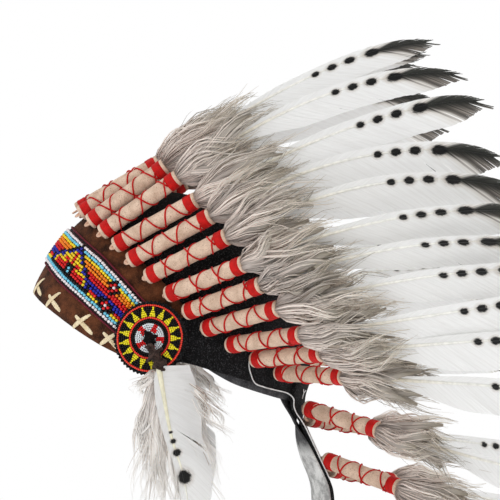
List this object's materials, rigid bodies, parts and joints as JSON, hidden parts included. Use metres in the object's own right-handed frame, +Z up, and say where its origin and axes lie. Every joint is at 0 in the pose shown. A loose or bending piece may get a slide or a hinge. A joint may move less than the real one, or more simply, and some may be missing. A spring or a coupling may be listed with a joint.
{
  "type": "feathered headdress",
  "caption": "Felt cap with a leather brow, beaded band and side rosettes, a ring of wrapped feathers with fur bases, and a feathered trail behind.",
  "frame": {"origin": "centre of the head opening, midway between the front and the rear of the rim", "axes": "+Z up, the wearer faces -Y, the wearer's left is +X"},
  "size_m": [0.5404, 0.4762, 0.4662],
  "materials": {
    "felt": "matte wool felt",
    "leather": "brushed suede",
    "beads": "glossy seed beads in several colours",
    "suede": "napped suede",
    "feather": "white vane with black dots and dark tip, felt and thread at the base",
    "fur": "long loose fur",
    "thong": "soft leather lace"
  },
  "bodies": {
    "root": {"felt_cap": "felt", "brow_leather": "leather", "beaded_band": "beads", "sweat_band": "suede", "rosette_backing_left": "felt", "rosette_beadwork_left": "beads", "drop_thong_left": "thong", "drop_feather_left": "feather", "drop_fur_left": "fur", "rosette_backing_right": "felt", "rosette_beadwork_right": "beads", "drop_thong_right": "thong", "drop_feather_right": "feather", "drop_fur_right": "fur", "trail_felt": "felt", "trail_lining": "suede", "feather_front": "feather", "feather_left_02": "feather", "feather_left_03": "feather", "feather_left_04": "feather", "feather_left_05": "feather", "feather_left_06": "feather", "feather_left_07": "feather", "feather_left_08": "feather", "feather_left_09": "feather", "feather_left_10": "feather", "feather_left_11": "feather", "feather_left_12": "feather", "feather_left_13": "feather", "trail_feather_left_1": "feather", "trail_feather_left_2": "feather", "trail_feather_left_3": "feather", "feather_right_02": "feather", "feather_right_03": "feather", "feather_right_04": "feather", "feather_right_05": "feather", "feather_right_06": "feather", "feather_right_07": "feather", "feather_right_08": "feather", "feather_right_09": "feather", "feather_right_10": "feather", "feather_right_11": "feather", "feather_right_12": "feather", "feather_right_13": "feather", "trail_feather_right_1": "feather", "trail_feather_right_2": "feather", "trail_feather_right_3": "feather"}
  },
  "joints": []
}
